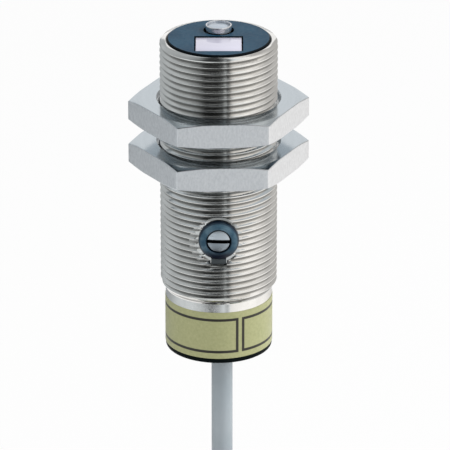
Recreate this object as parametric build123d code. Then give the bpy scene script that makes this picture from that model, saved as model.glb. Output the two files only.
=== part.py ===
from build123d import *
import math
import os

# Laser proximity sensor: a round barrel with a fine thread and two clamping nuts, a flat
# black face with a laser tube and a receiver window, a range adjuster set into the side,
# and a fixed cable that leaves the rear cap and is coiled for storage.
# Millimetres. Z runs along the barrel towards the sensing face, and the adjuster faces -Y.
# The origin is on the barrel's axis, midway between the nuts, where a bracket is clamped.

# Barrel
barrel_diameter = 18.0
barrel_length = 49.4
front_height = 14.7  # from the origin up to the front rim
plain_rear_length = 9.1
runout_length = 1.15  # the cone from the thread down to the plain rear
rear_relief = 0.75  # the plain rear is this much smaller in radius than the thread
rear_wall = 0.75
rim_chamfer = 0.3

# Clamping nuts
nut_width = 24.0  # across flats
nut_thickness = 3.8
nut_gap = 3.2
nut_clearance = 0.05
nut_countersink = 0.5
nut_facing_margin = 0.3  # the facing circle is this much larger than the flats
nut_facing_angle = 15.0
upper_nut_turn = 3.4  # degrees
lower_nut_turn = 2.9

# Black front cap, seated in the rim on its gasket
cap_ledge = 0.43  # the seat's reach past the bore
cap_thickness = 2.2
cap_clearance = 0.08
cap_stand = 0.3  # above the front rim
cap_edge = 0.15
gasket_thickness = 0.4

# Receiver window in its pocket
window_width = 7.0
window_depth = 6.1
window_thickness = 1.0
window_recess = 0.15  # below the cap's face
window_gap = 0.2
window_ledge = 0.6
window_corner = 0.2
receiver_offset = 2.7  # from the axis towards the adjuster's side

# Laser tube, its lens and its diode
laser_offset = 3.3  # from the axis, away from the adjuster's side
laser_tube_diameter = 4.0
laser_tube_stand = 0.9  # above the cap's face
laser_tube_length = 14.5
laser_tube_edge = 0.2
laser_hole_gap = 0.35
laser_fit = 0.03
laser_lens_diameter = 3.5
laser_lens_recess = 0.2
laser_lens_edge = 0.8
laser_lens_dome = 0.15
laser_beam_diameter = 2.4
diode_flange_diameter = 3.3
diode_flange_thickness = 0.9
diode_can_diameter = 2.3
diode_can_height = 1.6
diode_pin_diameter = 0.3
diode_pin_length = 3.0
diode_pin_circle = 1.4

# Receiver lens and the moulded carrier that holds the optics
carrier_clearance = 0.1
carrier_length = 12.25
lens_diameter = 6.0
lens_edge = 1.0
lens_dome = 0.8
lens_top_gap = 0.2
lens_fit = 0.05
light_path_diameter = 5.2
detector_size = (3.8, 2.8, 1.2)

# Circuit boards and what is soldered to them
front_board_gap = 0.15  # to the sleeve
board_thickness = 1.0
main_board_gap = 0.35  # to the sleeve
main_board_room = 2.1  # left below it for the leads
pin_side = 0.4
pin_length = 4.0
pin_pitch = 1.27
pin_count = 6
pin_hole_gap = 0.05
diode_pin_hole = 2.2
processor_size = (7.0, 1.1, 7.0)
processor_below_top = 8.0
processor_leads = 8
lead_pitch = 0.8
lead_size = (0.9, 0.2, 0.35)
driver_size = (6.5, 1.6, 3.5)
driver_above_bottom = 7.0
capacitor_size = (1.6, 1.2, 3.2)
capacitor_count = 3
capacitor_pitch = 3.0
capacitor_below_top = 5.5

# Range adjuster: a slotted screw in a bush that goes through the barrel's side
adjuster_below_front = 29.5
bush_diameter = 6.2
bush_stand = 0.25  # above the thread's crests
bush_spigot_diameter = 5.0
bush_spigot_reach = 1.1  # into the bore
bush_edge = 0.3
bush_key_width = 2.3
bush_key_reach = 4.0
bush_key_thickness = 0.2
spotface_diameter = 7.4
spotface_depth = 0.85
port_clearance = 0.03
key_clearance = 0.1
screw_head_diameter = 3.5
screw_head_recess = 0.2
screw_head_thickness = 1.1
screw_head_gap = 0.15
screw_slot_width = 0.55
screw_slot_depth = 0.6
screw_shaft_diameter = 2.0
screw_clearance = 0.05
screw_blade = (1.7, 0.45, 0.6)
seal_section = 0.85
seal_fit = 0.02
trimmer_size = (5.0, 3.2, 5.0)
rotor_diameter = 2.9
rotor_thickness = 0.85
rotor_slot_depth = 0.55

# Insulating sleeve, rear cap and cable entry
sleeve_clearance = 0.05
sleeve_wall = 0.2
sleeve_port_gap = 0.3
end_cap_thickness = 0.85
end_cap_edge = 0.3
spigot_length = 4.0
spigot_clearance = 0.05
spigot_wall = 1.15
entry_floor = 0.5
grommet_diameter = 6.0
grommet_length = 2.4
collar_wall = 0.8
collar_length = 2.7
crimp_diameter = 5.0
crimp_length = 0.8
resin_thickness = 1.1
snug_gap = 0.01

# Foil label around the plain rear of the barrel
label_margin = 1.4  # of bare metal between the thread's end and the label
label_thickness = 0.07

# Cable and its cores
cable_diameter = 3.3
cable_offset = 0.5  # towards +X
sheath_past_resin = 0.3
core_diameter = 1.0
core_offset = 0.6
core_colours = ("brown", "blue", "black", "white")
lead_diameter = 0.9
lead_rise = 0.7
lead_top = 2.6  # how far the leads reach up the main board
lead_spread = 1.3
lead_solder_gap = 0.05

# Stored cable: a round coil, upright below the sensor, with its tie and its bare end
coil_centre_height = -96.0
coil_mean_radius = 18.0
coil_section_radial = 16.9
coil_section_across = 12.6
coil_section_corner = 2.4
coil_start_height = -62.0  # where the hanging cable turns towards the coil
tie_place = 62.0  # degrees from the coil's top, towards +X
tie_width_angle = 9.0
tie_thickness = 1.0
tie_gap = 0.02
tie_head = (5.0, 3.2, 4.6)
tail_x = 23.0
tail_y = 3.5
tail_start_height = -102.0
tail_end_height = -116.5
tail_core_length = 6.5
tail_core_bend = 3.0
tail_core_spread = 1.7
tip_length = 2.5
tip_diameter = 0.7

# Heights and radii that follow from the sizes above
barrel_radius = barrel_diameter / 2
rear_radius = barrel_radius - rear_relief
bore_radius = rear_radius - rear_wall
rear_height = front_height - barrel_length
thread_end_height = rear_height + plain_rear_length
cap_top = front_height + cap_stand
cap_bottom = cap_top - cap_thickness
cap_seat = cap_bottom - gasket_thickness
cap_seat_radius = bore_radius + cap_ledge
cap_radius = cap_seat_radius - cap_clearance
carrier_bottom = cap_bottom - carrier_length
front_board_bottom = carrier_bottom - board_thickness
laser_top = cap_top + laser_tube_stand
laser_bottom = laser_top - laser_tube_length
laser_lens_top = laser_top - laser_lens_recess
laser_lens_bottom = laser_lens_top - laser_lens_dome - laser_lens_edge
lens_top = cap_bottom - lens_top_gap
lens_bottom = lens_top - lens_dome - lens_edge
board_face = board_thickness / 2
adjuster_height = front_height - adjuster_below_front
spotface_floor = barrel_radius - spotface_depth
bush_spigot_end = bore_radius - bush_spigot_reach
bush_face = barrel_radius + bush_stand
screw_face = bush_face - screw_head_recess
screw_head_back = screw_face - screw_head_thickness
seal_outer_side = screw_head_back - seal_fit
bush_seat = seal_outer_side - seal_section - seal_fit
screw_pocket_radius = screw_head_diameter / 2 + screw_head_gap
trimmer_face = board_face + trimmer_size[1]
sleeve_outer = bore_radius - sleeve_clearance
sleeve_inner = sleeve_outer - sleeve_wall
end_cap_bottom = rear_height - end_cap_thickness
entry_height = rear_height + entry_floor
resin_bottom = rear_height + spigot_length
resin_top = resin_bottom + resin_thickness
sheath_end = resin_top + sheath_past_resin
main_board_bottom = sheath_end + main_board_room
label_top = thread_end_height - label_margin
coil_outer_radius = coil_mean_radius + coil_section_radial / 2
cable_radius = cable_diameter / 2


def disc(radius, low, high, x=0.0, y=0.0):
    """A round plate or post with its axis along Z."""
    return Pos(x, y, (low + high) / 2) * Cylinder(radius, high - low)


def tube(outer, inner, low, high, x=0.0, y=0.0):
    """A round sleeve with its axis along Z."""
    return disc(outer, low, high, x, y) - disc(inner, low, high, x, y)


def block(size, x=0.0, y=0.0, z=0.0):
    """A rectangular block centred on a point."""
    return Pos(x, y, z) * Box(*size)


def side_disc(radius, inner, outer):
    """A round post on the adjuster's axis, between two distances from the barrel's axis."""
    placed = Pos(0, -(inner + outer) / 2, adjuster_height) * Rot(90, 0, 0)
    return placed * Cylinder(radius, outer - inner)


def turned(*points):
    """A solid of revolution about Z from its half profile of (radius, height) points."""
    return revolve(make_face(Plane.XZ * Polyline(*points, close=True)), Axis.Z)


def lens_blank(radius, bottom, edge, dome, y):
    """A lens with a flat underside and a domed top."""
    rim = bottom + edge
    top = rim + dome
    sphere_radius = (radius**2 + dome**2) / (2 * dome)
    middle = top - sphere_radius + math.sqrt(sphere_radius**2 - radius**2 / 4)
    outline = Polyline((0, top), (0, bottom), (radius, bottom), (radius, rim))
    crown = ThreePointArc((radius, rim), (radius / 2, middle), (0, top))
    section = make_face(Plane.XZ * (outline + crown))
    return Pos(0, y, 0) * revolve(section, Axis.Z)


def make_barrel():
    """The turned barrel, with its cap seat, its runout cone and the milled adjuster port."""
    body = turned(
        (bore_radius, rear_height),
        (rear_radius, rear_height),
        (rear_radius, thread_end_height),
        (barrel_radius, thread_end_height + runout_length),
        (barrel_radius, front_height - rim_chamfer),
        (barrel_radius - rim_chamfer, front_height),
        (cap_seat_radius, front_height),
        (cap_seat_radius, cap_seat),
        (bore_radius, cap_seat),
    )
    spotface = side_disc(spotface_diameter / 2, spotface_floor, bush_face)
    key_length = bush_key_reach + key_clearance
    key_size = (bush_key_width + 2 * key_clearance, bush_face - spotface_floor, key_length)
    key_slot = block(
        key_size,
        y=-(spotface_floor + bush_face) / 2,
        z=adjuster_height - key_length / 2,
    )
    port = side_disc(bush_spigot_diameter / 2 + port_clearance, 0, bush_face)
    return body - spotface - key_slot - port


def make_nut(bottom, turn):
    """A hexagon nut, faced at a shallow angle on both sides and countersunk."""
    top = bottom + nut_thickness
    half_width = nut_width / 2
    facing_radius = half_width + nut_facing_margin
    outer_radius = nut_width / math.sqrt(3) + nut_facing_margin
    drop = (outer_radius - facing_radius) * math.tan(math.radians(nut_facing_angle))
    hexagon = RegularPolygon(half_width, 6, major_radius=False)
    prism = extrude(Pos(0, 0, bottom) * hexagon, nut_thickness)
    faced = turned(
        (0, bottom),
        (facing_radius, bottom),
        (outer_radius, bottom + drop),
        (outer_radius, top - drop),
        (facing_radius, top),
        (0, top),
    )
    bore = barrel_radius + nut_clearance
    opening = turned(
        (0, bottom),
        (bore + nut_countersink, bottom),
        (bore, bottom + nut_countersink),
        (bore, top - nut_countersink),
        (bore + nut_countersink, top),
        (0, top),
    )
    return Rot(0, 0, turn) * ((prism & faced) - opening)


def make_front_cap():
    """The black face, with the laser's hole and the stepped pocket of the receiver window."""
    plate = chamfer(
        disc(cap_radius, cap_bottom, cap_top).edges().sort_by(Axis.Z)[-1], cap_edge
    )
    hole_radius = laser_tube_diameter / 2 + laser_hole_gap
    laser_hole = disc(hole_radius, cap_bottom, cap_top, y=laser_offset)
    pocket_depth = window_recess + window_thickness
    pocket = block(
        (window_width + 2 * window_gap, window_depth + 2 * window_gap, pocket_depth),
        y=-receiver_offset,
        z=cap_top - pocket_depth / 2,
    )
    aperture = block(
        (window_width - 2 * window_ledge, window_depth - 2 * window_ledge, cap_thickness),
        y=-receiver_offset,
        z=(cap_bottom + cap_top) / 2,
    )
    return plate - laser_hole - pocket - aperture


def make_cap_gasket():
    """The flat ring that seals the front cap on its seat."""
    return tube(cap_radius, bore_radius, cap_seat, cap_bottom)


def make_receiver_window():
    """The flat glass over the receiver."""
    top = cap_top - window_recess
    glass = block(
        (window_width, window_depth, window_thickness),
        y=-receiver_offset,
        z=top - window_thickness / 2,
    )
    return fillet(glass.edges().filter_by(Axis.Z), window_corner)


def make_laser_tube():
    """The plated tube that holds the laser's lens and diode and stands out of the face."""
    outer = laser_tube_diameter / 2
    lens_bore = laser_lens_diameter / 2 + laser_fit
    beam = laser_beam_diameter / 2
    flange_bore = diode_flange_diameter / 2 + laser_fit
    flange_seat = laser_bottom + diode_flange_thickness
    shell = turned(
        (lens_bore, laser_top),
        (outer - laser_tube_edge, laser_top),
        (outer, laser_top - laser_tube_edge),
        (outer, laser_bottom),
        (flange_bore, laser_bottom),
        (flange_bore, flange_seat),
        (beam, flange_seat),
        (beam, laser_lens_bottom),
        (lens_bore, laser_lens_bottom),
    )
    return Pos(0, laser_offset, 0) * shell


def make_laser_lens():
    """The collimating lens in the mouth of the laser tube."""
    return lens_blank(
        laser_lens_diameter / 2,
        laser_lens_bottom,
        laser_lens_edge,
        laser_lens_dome,
        laser_offset,
    )


def make_laser_diode():
    """The laser diode: flange, can and three pins."""
    seat = laser_bottom + diode_flange_thickness
    diode = disc(diode_flange_diameter / 2, laser_bottom, seat, y=laser_offset)
    diode += disc(diode_can_diameter / 2, seat, seat + diode_can_height, y=laser_offset)
    for turn in (0, 120, 240):
        x = diode_pin_circle / 2 * math.sin(math.radians(turn))
        y = laser_offset - diode_pin_circle / 2 * math.cos(math.radians(turn))
        diode += disc(
            diode_pin_diameter / 2, laser_bottom - diode_pin_length, laser_bottom, x, y
        )
    return diode


def make_optics_carrier():
    """The black moulding behind the face, bored for the laser tube and the receiver's light."""
    body = disc(bore_radius - carrier_clearance, carrier_bottom, cap_bottom)
    laser_bore = laser_tube_diameter / 2 + laser_fit
    body -= disc(laser_bore, carrier_bottom, cap_bottom, y=laser_offset)
    body -= disc(light_path_diameter / 2, carrier_bottom, cap_bottom, y=-receiver_offset)
    lens_seat = lens_diameter / 2 + lens_fit
    return body - disc(lens_seat, lens_bottom, cap_bottom, y=-receiver_offset)


def make_receiver_lens():
    """The lens that gathers the returned light."""
    return lens_blank(lens_diameter / 2, lens_bottom, lens_edge, lens_dome, -receiver_offset)


def make_light_detector():
    """The detector under the receiver lens, on the front board."""
    height = detector_size[2]
    return block(detector_size, y=-receiver_offset, z=carrier_bottom + height / 2)


def pin_places():
    """X of each pin that joins the two boards."""
    first = -pin_pitch * (pin_count - 1) / 2
    return [first + pin_pitch * n for n in range(pin_count)]


def make_front_board():
    """The round board under the optics."""
    board = disc(sleeve_inner - front_board_gap, front_board_bottom, carrier_bottom)
    board -= disc(
        diode_pin_hole / 2, front_board_bottom, carrier_bottom, y=laser_offset
    )
    hole_side = pin_side + 2 * pin_hole_gap
    for x in pin_places():
        board -= block(
            (hole_side, hole_side, board_thickness),
            x,
            -(board_face + pin_side / 2),
            front_board_bottom + board_thickness / 2,
        )
    return board


def make_board_pins():
    """The row of square pins that joins the front board to the main board."""
    pins = []
    for x in pin_places():
        pin = block(
            (pin_side, pin_side, pin_length),
            x,
            -(board_face + pin_side / 2),
            carrier_bottom - pin_length / 2,
        )
        pins.append(pin)
    return Compound(children=pins)


def make_main_board():
    """The long board that stands in the middle of the barrel."""
    width = 2 * (sleeve_inner - main_board_gap)
    length = front_board_bottom - main_board_bottom
    return block(
        (width, board_thickness, length),
        z=main_board_bottom + length / 2,
    )


def make_signal_processor():
    """The processor chip with its row of leads on each side."""
    z = front_board_bottom - processor_below_top
    chip = block(processor_size, y=board_face + processor_size[1] / 2, z=z)
    reach, lead_thickness = lead_size[:2]
    first = z - lead_pitch * (processor_leads - 1) / 2
    for side in (-1, 1):
        for n in range(processor_leads):
            chip += block(
                lead_size,
                side * (processor_size[0] + reach) / 2,
                board_face + lead_thickness / 2,
                first + lead_pitch * n,
            )
    return chip


def make_output_driver():
    """The transistor that switches the output."""
    z = main_board_bottom + driver_above_bottom
    body = block(driver_size, y=board_face + driver_size[1] / 2, z=z)
    reach, lead_thickness, lead_width = lead_size
    for x in (-driver_size[0] / 3, 0, driver_size[0] / 3):
        body += block(
            (lead_width, lead_thickness, reach),
            x,
            board_face + lead_thickness / 2,
            z - (driver_size[2] + reach) / 2,
        )
    return body


def make_capacitors():
    """The smoothing capacitors between the pins and the trimmer."""
    z = front_board_bottom - capacitor_below_top
    first = -capacitor_pitch * (capacitor_count - 1) / 2
    parts = []
    for n in range(capacitor_count):
        y = -(board_face + capacitor_size[1] / 2)
        parts.append(block(capacitor_size, first + capacitor_pitch * n, y, z))
    return Compound(children=parts)


def make_trimmer_body():
    """The potentiometer that the adjuster turns, soldered behind the port."""
    body = block(
        trimmer_size, y=-(board_face + trimmer_face) / 2, z=adjuster_height
    )
    pocket_radius = rotor_diameter / 2 + screw_clearance
    pocket_floor = trimmer_face - rotor_thickness - screw_clearance
    return body - side_disc(pocket_radius, pocket_floor, trimmer_face)


def make_trimmer_rotor():
    """The potentiometer's rotor, with the slot that takes the screw's blade."""
    rotor = side_disc(rotor_diameter / 2, trimmer_face - rotor_thickness, trimmer_face)
    slot_width = screw_blade[2] + 2 * screw_clearance
    slot = block(
        (rotor_diameter, rotor_slot_depth, slot_width),
        y=-(trimmer_face - rotor_slot_depth / 2),
        z=adjuster_height,
    )
    return rotor - slot


def make_adjuster_screw():
    """The slotted range screw, with the blade that drives the rotor."""
    shaft_end = trimmer_face + screw_clearance
    screw = side_disc(screw_head_diameter / 2, screw_head_back, screw_face)
    screw += side_disc(screw_shaft_diameter / 2, shaft_end, screw_head_back)
    screw += block(
        screw_blade, y=-(shaft_end - screw_blade[1] / 2), z=adjuster_height
    )
    slot = block(
        (screw_head_diameter, screw_slot_depth, screw_slot_width),
        y=-(screw_face - screw_slot_depth / 2),
        z=adjuster_height,
    )
    return screw - slot


def make_adjuster_seal():
    """The rubber ring between the screw's head and the bush."""
    ring_radius = screw_shaft_diameter / 2 + seal_fit + seal_section / 2
    middle = seal_outer_side - seal_section / 2
    placed = Pos(0, -middle, adjuster_height) * Rot(90, 0, 0)
    return placed * Torus(ring_radius, seal_section / 2)


def make_adjuster_bush():
    """The dark bush around the screw, keyed into the barrel's port."""
    collar = side_disc(bush_diameter / 2, spotface_floor, bush_face)
    collar = chamfer(collar.edges().sort_by(Axis.Y)[0], bush_edge)
    key = block(
        (bush_key_width, bush_key_thickness, bush_key_reach),
        y=-(spotface_floor + bush_key_thickness / 2),
        z=adjuster_height - bush_key_reach / 2,
    )
    spigot = side_disc(bush_spigot_diameter / 2, bush_spigot_end, spotface_floor)
    bush = collar + key + spigot
    bush -= side_disc(screw_pocket_radius, bush_seat, bush_face)
    shaft_bore = screw_shaft_diameter / 2 + screw_clearance
    return bush - side_disc(shaft_bore, bush_spigot_end, bush_seat)


def make_insulating_sleeve():
    """The thin sleeve that keeps the boards off the barrel."""
    sleeve = tube(sleeve_outer, sleeve_inner, resin_top, carrier_bottom)
    window_radius = bush_spigot_diameter / 2 + sleeve_port_gap
    return sleeve - side_disc(window_radius, 0, barrel_radius)


def make_label_band():
    """The foil label around the plain rear of the barrel."""
    inner = rear_radius + snug_gap
    return tube(inner + label_thickness, inner, rear_height, label_top)


def make_end_cap():
    """The black rear cap: flange, spigot in the bore, and the collar of the cable entry."""
    flange = disc(rear_radius, end_cap_bottom, rear_height)
    flange = fillet(flange.edges().sort_by(Axis.Z)[0], end_cap_edge)
    spigot_radius = bore_radius - spigot_clearance
    cap = flange + disc(spigot_radius, rear_height, entry_height)
    cap += tube(spigot_radius, spigot_radius - spigot_wall, entry_height, resin_bottom)
    collar_inner = grommet_diameter / 2 + snug_gap
    cap += tube(
        collar_inner + collar_wall,
        collar_inner,
        entry_height,
        entry_height + collar_length,
        x=cable_offset,
    )
    return cap - disc(cable_radius + snug_gap, end_cap_bottom, entry_height, x=cable_offset)


def make_cable_grommet():
    """The rubber sleeve that seals the cable in the rear cap."""
    return tube(
        grommet_diameter / 2,
        cable_radius + snug_gap,
        entry_height,
        entry_height + grommet_length,
        x=cable_offset,
    )


def make_crimp_ring():
    """The metal ring crimped on the cable, which takes its pull."""
    bottom = entry_height + grommet_length
    return tube(
        crimp_diameter / 2,
        cable_radius + snug_gap,
        bottom,
        bottom + crimp_length,
        x=cable_offset,
    )


def make_resin_plug():
    """The cast resin that closes the electronics off from the cable entry."""
    plug = disc(bore_radius - snug_gap, resin_bottom, resin_top)
    return plug - disc(
        cable_radius + snug_gap, resin_bottom, resin_top, x=cable_offset
    )


def make_cable_inner():
    """The sheathed cable inside the rear cap."""
    return disc(cable_radius, end_cap_bottom, sheath_end, x=cable_offset)


def core_sides():
    """(colour, side in X, side in Y) of each of the four cores."""
    corners = ((-1, -1), (1, -1), (1, 1), (-1, 1))
    return [(colour, *corner) for colour, corner in zip(core_colours, corners)]


def rod(points, radius, corner_radii):
    """A round rod along straight runs joined by tangent arcs."""
    path = FilletPolyline(*points, radius=corner_radii)
    start = Plane(origin=points[0], z_dir=Vector(*points[1]) - Vector(*points[0]))
    return sweep(start * Circle(radius), path=path)


def make_lead(side_x, side_y):
    """One core's lead, from the end of the sheath up to its pad on the main board."""
    core_x = cable_offset + side_x * core_offset
    pad_x = cable_offset + side_x * lead_spread
    pad_y = side_y * (board_face + lead_diameter / 2 + lead_solder_gap)
    points = [
        (core_x, side_y * core_offset, sheath_end),
        (core_x, side_y * core_offset, sheath_end + lead_rise),
        (pad_x, pad_y, main_board_bottom),
        (pad_x, pad_y, main_board_bottom + lead_top),
    ]
    return rod(points, lead_diameter / 2, [lead_diameter] * 2)


def coil_section(growth):
    """The wound cable's cross-section, grown by the same amount on every side."""
    outline = Rectangle(coil_section_radial + 2 * growth, coil_section_across + 2 * growth)
    corner = coil_section_corner + growth * (2 - math.sqrt(2))
    return chamfer(outline.vertices(), corner)


def coil_middle():
    """The place of the coil's centre."""
    return Pos(cable_offset, 0, coil_centre_height)


def make_cable_coil():
    """The outer shape of the wound cable."""
    return coil_middle() * revolve(Pos(coil_mean_radius, 0, 0) * coil_section(0), Axis.Y)


def cable_route():
    """The cable from the rear cap down to where it becomes the coil's first turn."""
    first_turn_radius = coil_outer_radius - cable_diameter
    drop = coil_start_height - coil_centre_height
    slant = math.acos(first_turn_radius / drop)
    return [
        (cable_offset, 0, end_cap_bottom),
        (cable_offset, 0, coil_start_height),
        (
            cable_offset + first_turn_radius * math.sin(slant),
            cable_radius - coil_section_across / 2,
            coil_centre_height + first_turn_radius * math.cos(slant),
        ),
    ]


def route_radii(points):
    """The largest arc that the shorter run beside each corner allows."""
    radii = []
    for before, corner, after in zip(points, points[1:], points[2:]):
        run_in = Vector(*corner) - Vector(*before)
        run_out = Vector(*after) - Vector(*corner)
        turn = math.radians(run_in.get_angle(run_out))
        radii.append(0.45 * min(run_in.length, run_out.length) / math.tan(turn / 2))
    return radii


def make_cable(coil):
    """The free cable, from the rear cap to the coil's surface."""
    points = cable_route()
    radii = route_radii(points)
    whole = rod(points, cable_radius, radii)
    path_length = FilletPolyline(*points, radius=radii).length
    section = math.pi * cable_radius**2
    print("cable radii", [round(radius, 1) for radius in radii])
    print("cable volume", round(whole.volume, 1), "expected", round(section * path_length, 1))
    return whole - coil


def make_cable_tail(coil):
    """The sheathed end of the cable that hangs from the coil."""
    return disc(cable_radius, tail_end_height, tail_start_height, tail_x, tail_y) - coil


def make_coil_tie():
    """The plastic tie around the coil: a strap with its locking head."""
    loop = coil_section(tie_gap + tie_thickness) - coil_section(tie_gap)
    strap = revolve(Pos(coil_mean_radius, 0, 0) * loop, Axis.Y, tie_width_angle)
    head_side = coil_section_across / 2 + tie_gap + tie_head[1] / 2
    head = block(tie_head, coil_mean_radius, -head_side)
    tie = Rot(0, -tie_width_angle / 2, 0) * strap + head
    return coil_middle() * Rot(0, tie_place - 90, 0) * tie


def make_tail_core(side_x, side_y):
    """One insulated core at the cable's free end, bent away from the others."""
    points = tail_core_points(side_x, side_y)
    return rod(points, core_diameter / 2, [2 * core_diameter])


def tail_core_points(side_x, side_y):
    """The bend of one core, from the sheath's end down to where it is stripped."""
    start_x = tail_x + side_x * core_offset
    start_y = tail_y + side_y * core_offset
    bend = tail_end_height - tail_core_bend
    spread = tail_core_spread
    return [
        (start_x, start_y, tail_end_height),
        (start_x, start_y, bend),
        (
            start_x + side_x * spread,
            start_y + side_y * spread,
            tail_end_height - tail_core_length,
        ),
    ]


def make_core_tips():
    """The tinned strands at the ends of the four cores."""
    tips = []
    for _, side_x, side_y in core_sides():
        corner, end = tail_core_points(side_x, side_y)[1:]
        along = (Vector(*end) - Vector(*corner)).normalized()
        face = Plane(origin=end, z_dir=along) * Circle(tip_diameter / 2)
        tips.append(extrude(face, tip_length))
    return Compound(children=tips)


def make_parts():
    """Every node of the sensor, by name."""
    lower_bottom = -nut_gap / 2 - nut_thickness
    coil = make_cable_coil()
    parts = {
        "barrel": make_barrel(),
        "upper_nut": make_nut(nut_gap / 2, upper_nut_turn),
        "lower_nut": make_nut(lower_bottom, lower_nut_turn),
        "front_cap": make_front_cap(),
        "cap_gasket": make_cap_gasket(),
        "receiver_window": make_receiver_window(),
        "laser_tube": make_laser_tube(),
        "laser_lens": make_laser_lens(),
        "laser_diode": make_laser_diode(),
        "optics_carrier": make_optics_carrier(),
        "receiver_lens": make_receiver_lens(),
        "light_detector": make_light_detector(),
        "front_board": make_front_board(),
        "board_pins": make_board_pins(),
        "main_board": make_main_board(),
        "signal_processor": make_signal_processor(),
        "output_driver": make_output_driver(),
        "capacitors": make_capacitors(),
        "trimmer_body": make_trimmer_body(),
        "trimmer_rotor": make_trimmer_rotor(),
        "adjuster_screw": make_adjuster_screw(),
        "adjuster_seal": make_adjuster_seal(),
        "adjuster_bush": make_adjuster_bush(),
        "insulating_sleeve": make_insulating_sleeve(),
        "label_band": make_label_band(),
        "end_cap": make_end_cap(),
        "cable_grommet": make_cable_grommet(),
        "crimp_ring": make_crimp_ring(),
        "resin_plug": make_resin_plug(),
        "cable_inner": make_cable_inner(),
        "cable": make_cable(coil),
        "cable_coil": coil,
        "coil_tie": make_coil_tie(),
        "cable_tail": make_cable_tail(coil),
        "core_tips": make_core_tips(),
    }
    for colour, side_x, side_y in core_sides():
        parts[f"{colour}_lead"] = make_lead(side_x, side_y)
        parts[f"{colour}_core"] = make_tail_core(side_x, side_y)
    return parts


os.makedirs("parts", exist_ok=True)
for name, shape in make_parts().items():
    export_step(shape, f"parts/{name}.step")
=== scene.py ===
import math

import bmesh
import bpy
from mathutils import Matrix, Vector


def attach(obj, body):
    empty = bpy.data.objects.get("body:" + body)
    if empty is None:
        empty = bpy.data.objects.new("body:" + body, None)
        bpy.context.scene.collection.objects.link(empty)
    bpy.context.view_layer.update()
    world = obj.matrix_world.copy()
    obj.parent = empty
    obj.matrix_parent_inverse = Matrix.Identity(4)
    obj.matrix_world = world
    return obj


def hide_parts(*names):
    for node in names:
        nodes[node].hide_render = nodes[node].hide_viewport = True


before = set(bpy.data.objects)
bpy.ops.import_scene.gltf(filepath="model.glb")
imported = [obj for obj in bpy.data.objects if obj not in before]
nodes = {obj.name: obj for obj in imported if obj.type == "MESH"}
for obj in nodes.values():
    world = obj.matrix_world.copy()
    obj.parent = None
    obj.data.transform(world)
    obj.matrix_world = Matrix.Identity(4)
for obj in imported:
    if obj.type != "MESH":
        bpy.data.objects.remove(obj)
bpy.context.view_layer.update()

mm = 0.001


def box(name):  # a node's low and high corners, in millimetres
    node = nodes[name]
    corners = [node.matrix_world @ Vector(corner) / mm for corner in node.bound_box]
    return [Vector(pick(values) for values in zip(*corners)) for pick in (min, max)]


def addObject(name, data):
    added = bpy.data.objects.new(name, data)
    bpy.context.scene.collection.objects.link(added)
    return added


def addMesh(name, bm):
    mesh = bpy.data.meshes.new(name)
    bm.to_mesh(mesh)
    bm.free()
    return addObject(name, mesh)


def around(angle, radius=1.0):
    return radius * math.cos(angle), radius * math.sin(angle)


print("frame:", len(nodes), "nodes")


# Mesh helpers, all in millimetres

def softEdges(piece, sharpAngle):
    piece.data.shade_smooth()
    piece.data.set_sharp_from_angle(angle=math.radians(sharpAngle))


def pieceFrom(bm, name, sharpAngle=35, matrix=None):
    bmesh.ops.recalc_face_normals(bm, faces=bm.faces)
    if matrix:
        bmesh.ops.transform(bm, matrix=matrix, verts=bm.verts)
    bmesh.ops.scale(bm, vec=(mm, mm, mm), verts=bm.verts)
    piece = addMesh(name, bm)
    softEdges(piece, sharpAngle)
    return piece


def lathe(profile, columns=96):
    bm = bmesh.new()
    rings = []
    for radius, height in profile:
        if radius < 1e-6:
            rings.append([bm.verts.new((0, 0, height))])
            continue
        turns = [2 * math.pi * c / columns for c in range(columns)]
        rings.append([bm.verts.new((*around(turn, radius), height)) for turn in turns])
    for ring, following in zip(rings, rings[1:] + rings[:1]):
        for c in range(columns):
            corners = [
                ring[c % len(ring)],
                ring[(c + 1) % len(ring)],
                following[(c + 1) % len(following)],
                following[c % len(following)],
            ]
            distinct = list(dict.fromkeys(corners))
            if len(distinct) > 2:
                bm.faces.new(distinct)
    return bm


def rounded(profile, steps=4):  # (radius, height, corner radius) points to plain points
    points = []
    for n, (radius, height, corner) in enumerate(profile):
        here = Vector((radius, height))
        if not corner:
            points.append(tuple(here))
            continue
        toBefore = (Vector(profile[n - 1][:2]) - here).normalized()
        toAfter = (Vector(profile[(n + 1) % len(profile)][:2]) - here).normalized()
        half = toBefore.angle(toAfter) / 2
        middle = here + (toBefore + toAfter).normalized() * corner / math.sin(half)
        first = (here + toBefore * corner / math.tan(half) - middle).normalized()
        last = (here + toAfter * corner / math.tan(half) - middle).normalized()
        for s in range(steps + 1):
            points.append(tuple(middle + first.slerp(last, s / steps) * corner))
    return points


def block(size, centre, edge=0.0):
    bm = bmesh.new()
    bmesh.ops.create_cube(bm, size=1)
    bmesh.ops.scale(bm, vec=size, verts=bm.verts)
    bmesh.ops.translate(bm, vec=centre, verts=bm.verts)
    if edge:
        bmesh.ops.bevel(
            bm, geom=bm.edges[:], offset=edge, segments=3, profile=0.5, affect="EDGES"
        )
    return bm


def combine(piece, operation, *others, sharpAngle=35):
    for other in others:
        step = piece.modifiers.new(operation, "BOOLEAN")
        step.operation = operation
        step.solver = "EXACT"
        step.object = other
    evaluated = piece.evaluated_get(bpy.context.evaluated_depsgraph_get())
    mesh = bpy.data.meshes.new_from_object(evaluated)
    mesh.name = piece.name
    piece.modifiers.clear()
    old, piece.data = piece.data, mesh
    bpy.data.meshes.remove(old)
    for other in others:
        bpy.data.objects.remove(other)
    softEdges(piece, sharpAngle)


# Shader helpers and groups

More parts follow.
